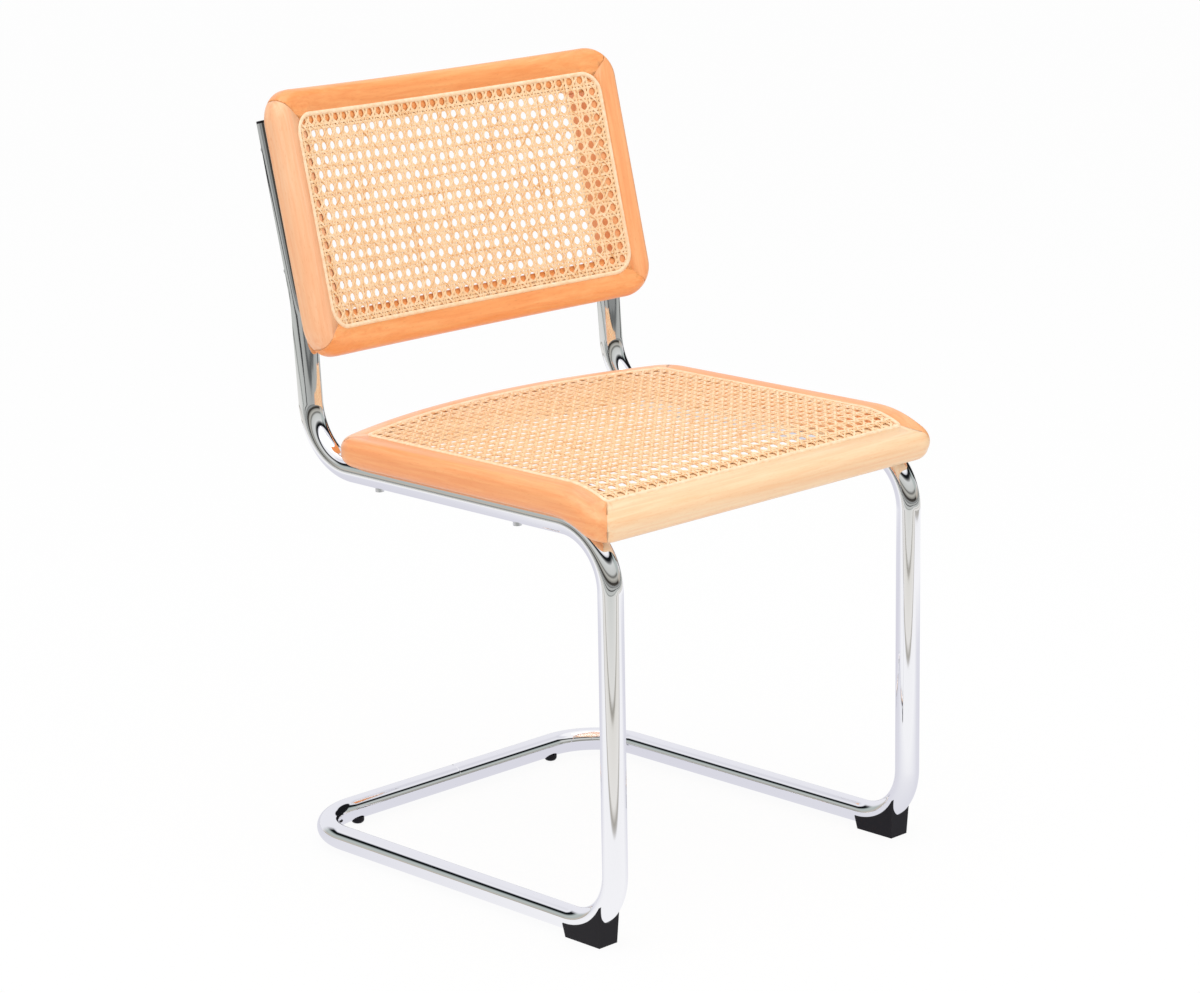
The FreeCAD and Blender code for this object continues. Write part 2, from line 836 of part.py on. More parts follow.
in_x = back_half - stile * 1.5
in_z = back_rise_half - back_rail * 1.5
out_x = back_half + stile / 2
out_z = back_rise_half + back_rail / 2
back_left_wedge = back_wedge("back_left_wedge", [
    (in_x, -in_z), (out_x, -out_z), (out_x, out_z), (in_x, in_z),
])
back_top_wedge = back_wedge("back_top_wedge", [
    (-in_x, in_z), (in_x, in_z), (out_x, out_z), (-out_x, out_z),
])
back_bottom_wedge = back_wedge("back_bottom_wedge", [
    (-in_x, -in_z), (-out_x, -out_z), (out_x, -out_z), (in_x, -in_z),
])
finish_pair(common("left_back_stile", [back_frame_left, back_left_wedge]), "back_stile")
finish(whole_member("back_top", back_frame_left, back_top_wedge), "back_top_rail")
finish(whole_member("back_bottom", back_frame_left, back_bottom_wedge), "back_bottom_rail")
for thing in (back_spline, back_cane):
    finish(thing, thing.Name, y=back_y, z=back_z, axis=(-1, 0, 0), angle=back_angle)

# Feet: black saddles that wrap the lower half of the front bends, with a peg into
# the tube.
peg_radius = size("peg_diameter") / 2
foot_front = leg_y + size("foot_front_setback")
foot_rear = foot_front + size("foot_length")
foot_wall = runner_z - size("foot_wall_drop")
foot_high = size("front_lower_radius") + tube_radius
foot_region = extrude("foot_region", draw_outline("foot_outline", SIDE, [
    (foot_rear + 10, 0, None),
    (foot_rear + 10, foot_wall, None),
    (leg_y, foot_wall, size("front_lower_radius")),
    (leg_y, foot_wall + foot_high, None),
    (leg_y - tube_radius, foot_wall + foot_high, None),
    (leg_y - tube_radius, 0, None),
]), size("foot_width") * 2)
place(foot_region, x=side_x)


# The foot's own block narrows towards the floor on all four sides.
def foot_edge(height, draft):
    return (height - runner_z) * tangent(size(draft))


foot_bounds = doc.addObject("Part::Wedge", "foot_bounds")
for end, height in (("", as_size(0)), ("2", foot_high)):
    spread = foot_edge(height, "foot_draft")
    bind(foot_bounds, "X%smin" % end, -size("foot_width") / 2 - spread)
    bind(foot_bounds, "X%smax" % end, size("foot_width") / 2 + spread)
    bind(foot_bounds, "Z%smin" % end, -foot_rear - foot_edge(height, "foot_heel_draft"))
    bind(foot_bounds, "Z%smax" % end, -foot_front + spread)
bind(foot_bounds, "Ymin", 0)
bind(foot_bounds, "Ymax", foot_high)
place(foot_bounds, x=side_x, axis=(1, 0, 0), angle=90)
foot_block = cut("foot_block", common("foot_trimmed", [foot_region, foot_bounds]), left_bar)
peg_y = foot_rear - size("peg_setback")


def peg(name, radius, x, y):
    return cylinder(
        name, radius, size("sole_thickness") / 2 + size("peg_length"),
        x=x, y=y, z=size("sole_thickness") / 2,
    )


foot_peg = peg("foot_peg", peg_radius, side_x, peg_y)
foot_hole = peg("foot_hole", peg_radius, side_x, peg_y)
finish_pair(fuse("left_foot", [foot_block, foot_peg]), "front_foot")

# Rear glides: low round buttons with a stem into the cross tube.
glide_x = side_x - size("glide_inset")
glide_radius = size("glide_diameter") / 2
glide_y = -size("glide_lead")
glide_top = size("sole_thickness") + tube_radius / 3
glide_outline = draw_outline("glide_outline", FRONT, [
    (0, 0, None),
    (glide_radius, 0, size("glide_edge_radius")),
    (glide_radius, glide_top, None),
    (0, glide_top, None),
])
glide_turned = doc.addObject("Part::Revolution", "glide_turned")
glide_turned.Source = glide_outline
glide_turned.Axis = FreeCAD.Vector(0, 0, 1)
glide_turned.Solid = True
place(glide_turned, x=glide_x, y=glide_y)
glide_button = cut("glide_button", glide_turned, left_bar)
glide_stem = peg("glide_stem", peg_radius, glide_x, glide_y)
glide_stem_hole = peg("glide_stem_hole", peg_radius, glide_x, glide_y)
finish_pair(fuse("left_glide", [glide_button, glide_stem]), "rear_glide")

# Caps close the upper ends of the uprights: a disc with a plug in the bore.
cap_lean = {"axis": (-1, 0, 0), "angle": back_angle}
cap_disc = cylinder(
    "cap_disc", tube_radius, size("cap_thickness"), **on_upright(upright_length, 0), **cap_lean
)
cap_plug = cylinder(
    "cap_plug", bore_radius, size("plug_length"),
    **on_upright(upright_length - size("plug_length"), 0), **cap_lean,
)
finish_pair(fuse("left_cap", [cap_disc, cap_plug]), "tube_cap")

# Rear joint: a sleeve inside the two tube halves, held by a rivet in each.
sleeve_turn = {"y": 0, "z": runner_z, "axis": (0, 1, 0), "angle": 90}
sleeve_rod = cylinder(
    "sleeve_rod", bore_radius, size("sleeve_length"), x=-size("sleeve_length") / 2, **sleeve_turn
)
sleeve_bore = cylinder(
    "sleeve_bore", bore_radius - size("sleeve_wall"), size("sleeve_length"),
    x=-size("sleeve_length") / 2, **sleeve_turn,
)
sleeve_tube = cut("sleeve_tube", sleeve_rod, sleeve_bore)
rivet_rod = cylinder(
    "rivet_rod", size("rivet_diameter") / 2,
    tube_radius - bore_radius + size("sleeve_wall") + 2, x=size("rivet_offset"), y=0,
    z=runner_z - tube_radius,
)
rivet = common("left_rivet", [rivet_rod, left_bar])
sleeve = carve(sleeve_tube, [rivet_rod, mirrored("right_rivet_rod", rivet_rod)], "sleeve")
finish(sleeve, "rear_joint_sleeve")
finish_pair(rivet, "joint_rivet")

# Screws and dowels, one of each on both sides.
for pair in seat_screws + back_screws + seat_dowels + back_dowels:
    finish_pair(pair[1], pair[1].Name)

# The tube halves take the holes of everything that crosses their wall.
holes = [pair[2] for pair in seat_screws + back_screws]
left_tube = carve(left_pipe, holes + [foot_hole, glide_stem_hole, rivet_rod], "left_tube")
finish_pair(left_tube, "frame_tube")

doc.recompute()
faults = [
    "%s: %s" % (thing.Label, thing.State)
    for thing in doc.Objects
    if "Invalid" in thing.State or "Error" in thing.State
]
for thing in NODES:
    if thing.Shape.isNull() or not thing.Shape.isValid() or thing.Shape.Volume <= 0:
        faults.append("%s: no valid shape" % thing.Label)
if faults:
    raise RuntimeError("; ".join(faults))
for thing in NODES:
    thing.Shape.exportStep("parts/%s.step" % thing.Label)
print("pieces", len(NODES))
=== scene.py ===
import math
import bmesh
import bpy
from mathutils import Matrix, Vector


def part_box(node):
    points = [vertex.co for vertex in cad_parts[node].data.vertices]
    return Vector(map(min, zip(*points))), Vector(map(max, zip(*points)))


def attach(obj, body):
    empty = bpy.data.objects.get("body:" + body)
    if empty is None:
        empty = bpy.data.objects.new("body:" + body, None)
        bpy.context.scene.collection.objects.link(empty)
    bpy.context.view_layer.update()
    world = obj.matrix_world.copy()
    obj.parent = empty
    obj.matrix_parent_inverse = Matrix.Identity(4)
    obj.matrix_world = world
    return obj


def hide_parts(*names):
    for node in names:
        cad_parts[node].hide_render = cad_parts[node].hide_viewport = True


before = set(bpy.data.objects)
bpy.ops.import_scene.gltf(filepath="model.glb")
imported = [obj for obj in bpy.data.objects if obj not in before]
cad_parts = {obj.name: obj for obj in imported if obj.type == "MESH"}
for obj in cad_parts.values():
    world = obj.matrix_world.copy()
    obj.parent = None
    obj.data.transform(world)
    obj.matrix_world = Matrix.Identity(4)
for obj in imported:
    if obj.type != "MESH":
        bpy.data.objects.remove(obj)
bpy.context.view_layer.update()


# Small helpers for the whole chair.
def hexColour(code):  # sRGB hex to the linear values that shaders take
    parts = [int(code[i:i + 2], 16) / 255 for i in (1, 3, 5)]
    return tuple(c / 12.92 if c <= 0.04045 else ((c + 0.055) / 1.055) ** 2.4 for c in parts) + (1.0,)


def clearSelection():
    if bpy.context.object and bpy.context.object.mode != "OBJECT":
        bpy.ops.object.mode_set(mode="OBJECT")
    bpy.ops.object.select_all(action="DESELECT")


def pick(piece):
    clearSelection()
    piece.select_set(True)
    bpy.context.view_layer.objects.active = piece


def smoothShade(piece, degrees):
    pick(piece)
    bpy.ops.object.shade_smooth_by_angle(angle=math.radians(degrees))


def applyAll(piece):
    pick(piece)
    for modifier in list(piece.modifiers):
        bpy.ops.object.modifier_apply(modifier=modifier.name)


def mount(piece, name, material, slotName, *nodes):
    piece.name = name
    piece.data.name = name
    piece.data.materials.clear()
    piece.data.materials.append(material)
    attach(piece, "root")
    if nodes:
        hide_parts(*nodes)


def addNode(material, kind, values=None, links=None, **settings):
    node = material.node_tree.nodes.new(kind)
    for key, value in settings.items():
        setattr(node, key, value)
    for key, value in (values or {}).items():
        node.inputs[key].default_value = value
    for key, socket in (links or {}).items():
        material.node_tree.links.new(socket, node.inputs[key])
    return node


def newMaterial(name, **values):
    material = bpy.data.materials.new(name)
    material.use_nodes = True
    surface = material.node_tree.nodes["Principled BSDF"]
    for key, value in values.items():
        surface.inputs[key.replace("_", " ")].default_value = value
    return material, surface


def wire(material, socket, surface, name):
    material.node_tree.links.new(socket, surface.inputs[name])


def fillRamp(node, stops):  # stops are positions with sRGB hex colours, in rising order
    ramp = node.color_ramp
    for spare in list(ramp.elements)[1:]:
        ramp.elements.remove(spare)
    ramp.elements[0].position, ramp.elements[0].color = stops[0][0], hexColour(stops[0][1])
    for position, code in stops[1:]:
        ramp.elements.new(position).color = hexColour(code)


# The chair's own sizes, in metres. Depths are measured from the rear cross tube.
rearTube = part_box("rear_joint_sleeve")
chair = {
    "shift": (rearTube[0].y + rearTube[1].y) / 2,
    "tubeRadius": 0.0125,
    "sideX": 0.215,
    "runnerZ": 0.0158,
    "legY": -0.466,
    "seatTubeZ": 0.4163,
    "seatTop": 0.4548,
    "dropStart": -0.406,
    "dropRadius": 0.124,
    "dropAngle": math.radians(24),
    "backCurve": 0.885,
    "backLean": math.radians(13.5),
    "backBend": (-0.030462, 0.5813),
    "backRise": 0.0745,
    "backStand": 0.01395,
}
shift = chair["shift"]


def seatPoint(x, along, height):  # along follows the top face rearwards from the start of the drop
    start = chair["dropStart"] + shift
    radius, turn, top = chair["dropRadius"], chair["dropAngle"], chair["seatTop"]
    if along >= 0:
        return Vector((x, start + along, top + height))
    angle = min(-along / radius, turn)
    rest = max(0.0, -along - radius * turn)
    y = start - (radius + height) * math.sin(angle) - rest * math.cos(turn)
    z = top - radius + (radius + height) * math.cos(angle) - rest * math.sin(turn)
    return Vector((x, y, z))


def backPoint(across, up, height):  # across and up follow the front face from its middle
    radius, lean = chair["backCurve"], chair["backLean"]
    angle = across / radius
    depth = (radius - height) * math.cos(angle) - radius
    bendY, bendZ = chair["backBend"]
    y = bendY + shift + (chair["backRise"] + up) * math.sin(lean)
    z = bendZ + (chair["backRise"] + up) * math.cos(lean)
    y += (depth - chair["backStand"]) * math.cos(lean)
    z -= (depth - chair["backStand"]) * math.sin(lean)
    return Vector(((radius - height) * math.sin(angle), y, z))


# Chromed steel tube: bright nickel-chrome plate on drawn tube, polished after bending.
# It mirrors the studio as long pale, grey and black lines, with hardly any blur.
chrome, surface = newMaterial("polishedChrome", Base_Color=hexColour("#F7F7F9"), Metallic=1.0)
coords = addNode(chrome, "ShaderNodeTexCoord")
ripple = addNode(chrome, "ShaderNodeTexNoise", {"Scale": 30.0, "Detail": 1.0},
                 {"Vector": coords.outputs["Object"]})
dull = addNode(chrome, "ShaderNodeMapRange", {"To Min": 0.02, "To Max": 0.05}, {"Value": ripple.outputs["Fac"]})
wire(chrome, dull.outputs["Result"], surface, "Roughness")
bump = addNode(chrome, "ShaderNodeBump", {"Strength": 0.03, "Distance": 0.001},
               {"Height": ripple.outputs["Fac"]})
wire(chrome, bump.outputs["Normal"], surface, "Normal")

tube = {
    "around": 64,
    "cornerSteps": 30,
    "gentleSteps": 10,
    "cornerRadius": 0.066,
    "legRadius": 0.060,
    "rearRadius": 0.065,
    "rearSetback": 0.042,
    "lowerLean": math.radians(4),
    "bendRadius": 0.160,
    "upperLength": 0.182,
    "wall": 0.002,
    "seam": 0.0004,   # the fine groove where the halves meet in the rear cross tube
    "merge": 0.00002,
    "crisp": 30,      # edges sharper than this stay sharp, in degrees
}


def bendTube(side):
    radius = chair["tubeRadius"]
    sideX, runZ, legY = chair["sideX"] * side, chair["runnerZ"], chair["legY"] + shift
    clearSelection()
    bpy.ops.mesh.primitive_circle_add(
        vertices=tube["around"], radius=radius - tube["seam"], fill_type="NOTHING",
        location=(0, shift, runZ), rotation=(0, math.pi / 2, 0))
    half = bpy.context.object
    bpy.ops.object.transform_apply(location=True, rotation=True, scale=True)
    bpy.ops.object.mode_set(mode="EDIT")
    bpy.ops.mesh.select_all(action="SELECT")

    def run(x, y, z):
        bpy.ops.mesh.extrude_region_move(TRANSFORM_OT_translate={"value": (x, y, z)})

    def turn(centre, axis, angle, steps):  # spin counts the other way round
        bpy.ops.mesh.spin(steps=steps, angle=-angle, center=centre, axis=axis)

    run(tube["seam"] * side, 0, 0)
    grow = radius / (radius - tube["seam"])
    bpy.ops.transform.resize(value=(1, grow, grow), center_override=(0, shift, runZ))
    corner = tube["cornerRadius"]
    run((chair["sideX"] - corner - tube["seam"]) * side, 0, 0)
    turn((sideX - corner * side, shift - corner, runZ), (0, 0, 1), -math.pi / 2 * side, tube["cornerSteps"])
    leg = tube["legRadius"]
    run(0, legY + leg - (shift - corner), 0)
    turn((sideX, legY + leg, runZ + leg), (1, 0, 0), -math.pi / 2, tube["cornerSteps"])
    run(0, 0, chair["seatTubeZ"] - runZ - leg * 2)
    turn((sideX, legY + leg, chair["seatTubeZ"] - leg), (1, 0, 0), -math.pi / 2, tube["cornerSteps"])
    rear, lean = tube["rearRadius"], tube["lowerLean"]
    rise = math.pi / 2 - lean
    rearCorner = shift - tube["rearSetback"]
    reach = rear * math.tan(rise / 2)
    run(0, rearCorner - reach - (legY + leg), 0)
    turn((sideX, rearCorner - reach, chair["seatTubeZ"] + rear), (1, 0, 0), rise, tube["cornerSteps"])
    bendY, bendZ = chair["backBend"][0] + shift, chair["backBend"][1]
    change = chair["backLean"] - lean
    gentle = tube["bendRadius"]
    approach = gentle * math.tan(change / 2)
    length = (bendZ - chair["seatTubeZ"]) / math.cos(lean) - reach - approach
    run(0, length * math.sin(lean), length * math.cos(lean))
    startY, startZ = bendY - approach * math.sin(lean), bendZ - approach * math.cos(lean)
    centre = (sideX, startY + gentle * math.cos(lean), startZ - gentle * math.sin(lean))
    turn(centre, (1, 0, 0), -change, tube["gentleSteps"])
    last = tube["upperLength"] - approach
    run(0, last * math.sin(chair["backLean"]), last * math.cos(chair["backLean"]))
    bpy.ops.mesh.select_all(action="SELECT")
    bpy.ops.mesh.remove_doubles(threshold=tube["merge"])
    bpy.ops.mesh.normals_make_consistent(inside=False)
    bpy.ops.object.mode_set(mode="OBJECT")
    wall = half.modifiers.new("wall", "SOLIDIFY")
    wall.thickness = tube["wall"]
    wall.offset = -1
    applyAll(half)
    return half


for side, label in ((1, "left"), (-1, "right")):
    half = bendTube(side)
    mount(half, label + "ChromedTube", chrome, "tube", label + "_frame_tube")
    smoothShade(half, tube["crisp"])      # the seam's chamfer and the cut ends stay crisp
    half.modifiers.new("evenNormals", "WEIGHTED_NORMAL").keep_sharp = True
    applyAll(half)
print("chromed tube frame")


# Lacquered beech: orange-brown satin lacquer on close, straight grain. The eye
# sees soft lengthwise streaks about 4 mm apart and short darker flecks.
beech = {
    "roughness": 0.36,
    "streakWidth": 0.0042,
    "fleckWidth": 0.0010,
    "lengthwise": 0.05,    # how much the streaks are drawn out
    "fleckStretch": 0.16,
    "driftScale": 28.0,    # slow changes of tone, per metre across the grain
    "streakShare": 0.55,   # the rest of the tone comes from the drift
    "fleckDepth": 0.35,
    "merge": 0.00001,      # distance within which the solid's vertices are joined
    "crisp": 28,           # edges sharper than this stay sharp, in degrees
}
flat = chair["backLean"] - math.pi / 2      # lays the leaning backrest level
grain = {
    "x": (0, 0, 0),
    "y": (0, 0, -math.pi / 2),
    "up": (flat, 0, -math.pi / 2),
    "acrossBack": (flat, 0, 0),
}


def beechMaterial(name, direction, seed, tones):
    material, surface = newMaterial(name, Roughness=beech["roughness"], Coat_Weight=0.2, Coat_Roughness=0.2)
    coords = addNode(material, "ShaderNodeTexCoord")
    turned = addNode(material, "ShaderNodeMapping",
                     {"Rotation": grain[direction], "Location": (seed, seed * 0.7, seed * 1.3)},
                     {"Vector": coords.outputs["Object"]})
    long = addNode(material, "ShaderNodeMapping", {"Scale": (beech["lengthwise"], 1, 1)},
                   {"Vector": turned.outputs["Vector"]})
    streaks = addNode(material, "ShaderNodeTexNoise",
                      {"Scale": 1 / beech["streakWidth"], "Detail": 4.0, "Roughness": 0.6, "Distortion": 0.4},
                      {"Vector": long.outputs["Vector"]})
    drift = addNode(material, "ShaderNodeTexNoise",
                    {"Scale": beech["driftScale"], "Detail": 2.0, "Distortion": 0.8},
                    {"Vector": long.outputs["Vector"]})
    most = addNode(material, "ShaderNodeMath", {1: beech["streakShare"]}, {0: streaks.outputs["Fac"]},
                   operation="MULTIPLY")
    blend = addNode(material, "ShaderNodeMath", {1: 1 - beech["streakShare"]},
                    {0: drift.outputs["Fac"], 2: most.outputs["Value"]}, operation="MULTIPLY_ADD")
    ramp = addNode(material, "ShaderNodeValToRGB", links={"Fac": blend.outputs["Value"]})
    fillRamp(ramp, ((0.38, tones[2]), (0.5, tones[1]), (0.62, tones[0])))
    short = addNode(material, "ShaderNodeMapping", {"Scale": (beech["fleckStretch"], 1, 1)},
                    {"Vector": turned.outputs["Vector"]})
    flecks = addNode(material, "ShaderNodeTexNoise", {"Scale": 1 / beech["fleckWidth"], "Detail": 1.0},
                     {"Vector": short.outputs["Vector"]})
    marks = addNode(material, "ShaderNodeMapRange",
                    {"From Min": 0.60, "From Max": 0.75, "To Max": beech["fleckDepth"]},
                    {"Value": flecks.outputs["Fac"]})
    colour = addNode(material, "ShaderNodeMix", {7: hexColour(tones[3])},
                     {0: marks.outputs["Result"], 6: ramp.outputs["Color"]}, data_type="RGBA")
    wire(material, colour.outputs[2], surface, "Base Color")
    bump = addNode(material, "ShaderNodeBump", {"Strength": 0.05, "Distance": 0.0004},
                   {"Height": flecks.outputs["Fac"]})
    wire(material, bump.outputs["Normal"], surface, "Normal")
    return material


def woodFromNode(node, name, material):  # a merged copy of the solid with even shading
    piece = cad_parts[node].copy()
    piece.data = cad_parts[node].data.copy()
    bpy.context.scene.collection.objects.link(piece)
    pick(piece)
    bpy.ops.object.mode_set(mode="EDIT")
    bpy.ops.mesh.select_all(action="SELECT")
    bpy.ops.mesh.remove_doubles(threshold=beech["merge"])
    bpy.ops.object.mode_set(mode="OBJECT")
    mount(piece, name, material, "frame_wood", node)
    smoothShade(piece, beech["crisp"])
    piece.modifiers.new("evenNormals", "WEIGHTED_NORMAL")
    applyAll(piece)


# pale, middle and dark tone of the streaks, then the flecks. The two palest sets are lighter copies of the orange
# beech: partly the members' own paler tone, partly a painted highlight, the lit look of their top faces.
orange = ("#FDBA80", "#FCAE72", "#F7A166", "#E68C50")
deep = ("#FDB370", "#FCA763", "#F79B56", "#E38546")
pinkWithPaintedHighlight = ("#FDC89D", "#FCBE8F", "#F9B281", "#EA9C66")
creamWithPaintedHighlight = ("#FDDDB4", "#FCD4A8", "#FAC999", "#EFB27C")
# the front and rear seat rails and the right back stile take the two palest sets, with their painted highlight
members = {
    "seat_front_rail": ("seatFrontRail", "x", 0.31, creamWithPaintedHighlight),
    "seat_rear_rail": ("seatRearRail", "x", 0.83, pinkWithPaintedHighlight),
    "left_seat_rail": ("leftSeatRail", "y", 0.27, orange),
    "right_seat_rail": ("rightSeatRail", "y", 0.65, orange),
    "back_top_rail": ("backTopRail", "acrossBack", 0.11, deep),
    "back_bottom_rail": ("backBottomRail", "acrossBack", 0.92, deep),
    "left_back_stile": ("leftBackStile", "up", 0.43, orange),
    "right_back_stile": ("rightBackStile", "up", 0.74, pinkWithPaintedHighlight),
}
for node, (name, direction, seed, tones) in members.items():
    woodFromNode(node, name, beechMaterial(name + "Beech", direction, seed, tones))
print("wooden frames")


# Split cane: six-way weave of glossy bark strips, 2.4 mm wide.
weave = {
    "strand": 0.0024,
    "diagonal": 0.0022,
    "thickness": 0.0007,
    "pairGap": 0.00175,     # half the distance between the two strands of a pair
    "lift": 0.00045,        # how far a strand rises over the one it crosses
    "cross": 0.0008,        # how far a diagonal rises over and dips under the pairs
    "steps": 6,             # mesh steps for one pitch
    "spare": 0.02,          # strips are laid this much too long and then trimmed
    "pairs": 40,            # more pairs to each side than any panel holds
    "crisp": 50,
}
panels = {
    "seat": {
        "pitchX": 0.01412, "pitchY": 0.0131, "phaseX": 0.31, "phaseY": 0.79,
        "halfX": 0.2088, "low": -0.0525, "high": 0.330, "node": "seat_cane", "lay": 0.0,
    },
    "back": {
        "pitchX": 0.0131, "pitchY": 0.01405, "phaseX": 0.0, "phaseY": 0.749,
        "halfX": 0.2122, "low": -0.1074, "high": 0.1074, "node": "back_cane", "lay": flat,
        "corner": 0.0215,
    },
}


def caneMaterial(name, lay, angle):
    # pale bark with its own tone along each strand, some darker strands and a few brown joints
    material, surface = newMaterial(name, Roughness=0.4, Coat_Weight=0.12, Coat_Roughness=0.25)
    coords = addNode(material, "ShaderNodeTexCoord")
    turned = addNode(material, "ShaderNodeMapping", {"Rotation": (lay, 0, -angle)},
                     {"Vector": coords.outputs["Object"]})
    long = addNode(material, "ShaderNodeMapping", {"Scale": (0.04, 1, 1)}, {"Vector": turned.outputs["Vector"]})
    tone = addNode(material, "ShaderNodeTexNoise", {"Scale": 420.0, "Detail": 2.0},
                   {"Vector": long.outputs["Vector"]})
    ramp = addNode(material, "ShaderNodeValToRGB", links={"Fac": tone.outputs["Fac"]})
    fillRamp(ramp, ((0.30, "#E3A568"), (0.42, "#F8CE9C"), (0.68, "#FFE2BC")))
    spots = addNode(material, "ShaderNodeTexNoise", {"Scale": 110.0, "Detail": 1.0},
                    {"Vector": coords.outputs["Object"]})
    rare = addNode(material, "ShaderNodeMapRange", {"From Min": 0.74, "From Max": 0.79, "To Max": 0.6},
                   {"Value": spots.outputs["Fac"]})
    colour = addNode(material, "ShaderNodeMix", {7: hexColour("#A8652F")},
                     {0: rare.outputs["Result"], 6: ramp.outputs["Color"]}, data_type="RGBA")
    wire(material, colour.outputs[2], surface, "Base Color")
    return material


def strandSheet(name, width, length, stepLength, offsets, angle):
    # one flat strip, copied side by side and then turned into its own direction
    clearSelection()
    bpy.ops.mesh.primitive_grid_add(x_subdivisions=max(2, round(length / stepLength)), y_subdivisions=2, size=1)
    strip = bpy.context.object
    bpy.ops.transform.resize(value=(length, width, 1))
    bpy.ops.object.transform_apply(location=True, rotation=True, scale=True)
    builder = bmesh.new()
    for offset in offsets:
        builder.from_mesh(strip.data)
        builder.verts.ensure_lookup_table()
        bmesh.ops.translate(builder, verts=builder.verts[-len(strip.data.vertices):], vec=(0, offset, 0))
    bmesh.ops.rotate(builder, verts=builder.verts, cent=(0, 0, 0), matrix=Matrix.Rotation(angle, 3, "Z"))
    bpy.data.objects.remove(strip)
    piece = bpy.data.objects.new(name, bpy.data.meshes.new(name))
    bpy.context.scene.collection.objects.link(piece)
    return piece, builder


seatRear = {                # the seat frame's bowed rear edge
    "edge": -0.057,         # its middle, from the rear cross tube
    "edgeBow": 0.6504,      # its radius
    "inset": 0.026,         # from the edge to the reed
    "trim": 0.0008,         # the cane ends this much before the reed's line
    "cornerTurn": math.radians(18),
}
rearApex = seatRear["edge"] - seatRear["inset"] - chair["dropStart"]
rearBow = seatRear["edgeBow"] - seatRear["inset"]


def seatRearLine(x):
    return rearApex - rearBow + math.sqrt(rearBow ** 2 - x ** 2) - seatRear["trim"]


def weavePanel(label, panel, place):
    pitchX, pitchY = panel["pitchX"], panel["pitchY"]
    phaseX, phaseY = panel["phaseX"], panel["phaseY"]
    halfX, low, high = panel["halfX"], panel["low"], panel["high"]
    middle, span = (low + high) / 2, high - low
    gap, lift, cross = weave["pairGap"], weave["lift"], weave["cross"]

    def ride(offset):  # rises over one strand of a crossed pair and dips under the other
        return math.sin(math.pi * max(-1, min(1, offset / (gap * 2))))

    def uprightHeight(x, y):
        side = 1 if (x / pitchX - phaseX) % 1 < 0.5 else -1
        return -side * lift * ride(((y / pitchY - phaseY + 0.5) % 1 - 0.5) * pitchY)

    def levelHeight(x, y):
        side = 1 if (y / pitchY - phaseY) % 1 < 0.5 else -1
        return side * lift * ride(((x / pitchX - phaseX + 0.5) % 1 - 0.5) * pitchX)

    def risingHeight(x, y):  # over the upright pairs, under the level ones
        return cross * math.cos(2 * math.pi * (x / pitchX - phaseX))

    def fallingHeight(x, y):
        return -risingHeight(x, y)

    def pairLines(pitch, phase, near, far):
        centres = [(index + phase) * pitch for index in range(-weave["pairs"], weave["pairs"] + 1)]
        return [c + part for c in centres for part in (-gap, gap) if near < c + part < far]

    angle = math.atan2(pitchY, pitchX)
    spacing = pitchX * math.sin(angle)
    spare = weave["spare"]
    reach = math.hypot(halfX * 2, span) + spare * 2
    count = int(reach / spacing / 2) + 2
    rising = [(index + (phaseY - phaseX + 0.5) % 1) * spacing - middle * math.cos(angle)
              for index in range(-count, count)]
    falling = [(index + (phaseX + phaseY + 0.5) % 1) * spacing - middle * math.cos(angle)
               for index in range(-count, count)]
    strand, diagonal = weave["strand"], weave["diagonal"]
    slant = math.hypot(pitchX, pitchY) / (weave["steps"] + 2)
    families = {
        "Uprights": (strand, span + spare, pitchY / weave["steps"],
                     [-line for line in pairLines(pitchX, phaseX, -halfX, halfX)], math.pi / 2, uprightHeight),
        "Levels": (strand, halfX * 2 + spare, pitchX / weave["steps"],
                   [line - middle for line in pairLines(pitchY, phaseY, low, high)], 0.0, levelHeight),
        "Rising": (diagonal, reach, slant, rising, angle, risingHeight),
        "Falling": (diagonal, reach, slant, falling, -angle, fallingHeight),
    }
    for family, (width, length, stepLength, offsets, direction, height) in families.items():
        name = label + "Cane" + family
        sheet, builder = strandSheet(name, width, length, stepLength, offsets, direction)
        bmesh.ops.translate(builder, verts=builder.verts, vec=(0, middle, 0))
        for point, normal in (((halfX, 0, 0), (1, 0, 0)), ((-halfX, 0, 0), (-1, 0, 0)),
                              ((0, low, 0), (0, -1, 0)), ((0, high, 0), (0, 1, 0))):
            everything = builder.verts[:] + builder.edges[:] + builder.faces[:]
            bmesh.ops.bisect_plane(builder, geom=everything, plane_co=point, plane_no=normal,
                                   clear_outer=True, dist=1e-6)
        if label == "seat":
            beyond = [v for v in builder.verts if v.co.y > seatRearLine(v.co.x)]
        else:      # the rounded corners
            inX, inY = halfX - panel["corner"], high - panel["corner"]
            beyond = [v for v in builder.verts if abs(v.co.x) > inX and abs(v.co.y) > inY
                      and math.hypot(abs(v.co.x) - inX, abs(v.co.y) - inY) > panel["corner"]]
        bmesh.ops.delete(builder, geom=beyond, context="VERTS")
        for vertex in builder.verts:
            x, y = vertex.co.x, vertex.co.y
            vertex.co = place(x, y, height(x, y) - weave["thickness"] * 0.5)
        bmesh.ops.recalc_face_normals(builder, faces=builder.faces)
        builder.to_mesh(sheet.data)
        builder.free()
        solid = sheet.modifiers.new("thickness", "SOLIDIFY")
        solid.thickness = weave["thickness"]
        solid.offset = 0
        applyAll(sheet)
        smoothShade(sheet, weave["crisp"])
        mount(sheet, name, caneMaterial(name + "Bark", panel["lay"], direction), "cane", panel["node"])


weavePanel("seat", panels["seat"], seatPoint)
weavePanel("back", panels["back"], backPoint)
print("cane panels")


